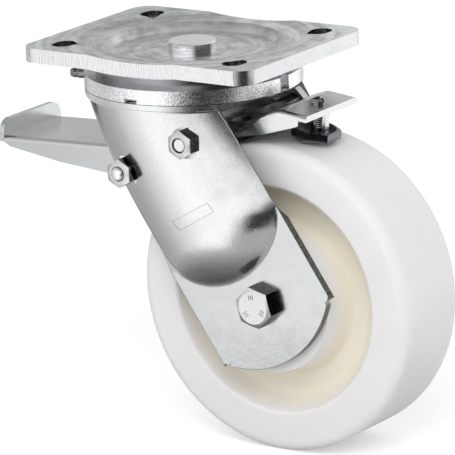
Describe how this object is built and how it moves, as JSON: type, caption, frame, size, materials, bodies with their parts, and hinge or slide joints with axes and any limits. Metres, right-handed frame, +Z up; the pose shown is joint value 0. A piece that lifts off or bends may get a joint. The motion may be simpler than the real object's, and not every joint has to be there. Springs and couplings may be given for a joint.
{
  "type": "swivel castor with brake",
  "caption": "Heavy duty swivel castor: slotted mounting plate, pressed steel fork, solid nylon wheel on ball bearings and a foot brake that stops wheel and swivel.",
  "frame": {"origin": "on the swivel axis, in the plane of the plate's mounting face", "axes": "+Z up along the swivel axis out of the mounting face, +X towards the trailing wheel, -X towards the brake pedal"},
  "size_m": [0.2483, 0.1122, 0.205],
  "materials": {
    "bright_zinc": "bright zinc plated pressed steel",
    "fastener_zinc": "zinc plated turned steel",
    "bearing_steel": "ground steel",
    "cast_nylon": "satin, natural white"
  },
  "bodies": {
    "mount": {"top_plate": "bright_zinc", "lock_ring": "bright_zinc", "grease_nipple": "fastener_zinc", "king_pin": "fastener_zinc", "king_pin_nut": "fastener_zinc", "lower_race": "bright_zinc", "upper_balls": "bearing_steel", "lower_balls": "bearing_steel"},
    "fork": {"fork": "bright_zinc", "axle_bolt": "fastener_zinc", "axle_nut": "fastener_zinc", "axle_tube": "fastener_zinc", "axle_washers": "fastener_zinc", "arm_pivot_bolt": "fastener_zinc", "arm_pivot_nut": "fastener_zinc", "arm_pivot_sleeves": "fastener_zinc", "pedal_pivot_bolt": "fastener_zinc", "pedal_pivot_nut": "fastener_zinc", "pedal_pivot_sleeves": "fastener_zinc", "near_bearing_inner_ring": "bearing_steel", "far_bearing_inner_ring": "bearing_steel"},
    "wheel": {"wheel": "cast_nylon", "near_bearing_outer_ring": "bearing_steel", "near_bearing_balls": "bearing_steel", "near_bearing_shields": "bearing_steel", "far_bearing_outer_ring": "bearing_steel", "far_bearing_balls": "bearing_steel", "far_bearing_shields": "bearing_steel"},
    "pedal": {"brake_pedal": "bright_zinc", "brake_cam": "fastener_zinc"},
    "arm": {"brake_arm": "bright_zinc", "brake_screw": "fastener_zinc", "brake_pad": "fastener_zinc", "cam_roller": "fastener_zinc"}
  },
  "joints": [
    {"name": "swivel", "type": "hinge", "parent": "mount", "child": "fork", "pos_m": [0, 0, 0], "axis": [0, 0, 1], "continuous": true},
    {"name": "wheel_spin", "type": "hinge", "parent": "fork", "child": "wheel", "pos_m": [0.06, 0, -0.125], "axis": [0, 1, 0], "continuous": true},
    {"name": "brake_pedal", "type": "hinge", "parent": "fork", "child": "pedal", "pos_m": [-0.0126, 0, -0.061], "axis": [0, -1, 0], "range_deg": [0, 14]},
    {"name": "brake_arm", "type": "hinge", "parent": "fork", "child": "arm", "pos_m": [0.0285, 0, -0.041], "axis": [0, 1, 0], "range_deg": [0, 2.2]}
  ],
  "couplings": [
    {"joint": "brake_arm", "follows": "brake_pedal", "ratio": 0.15714}
  ]
}
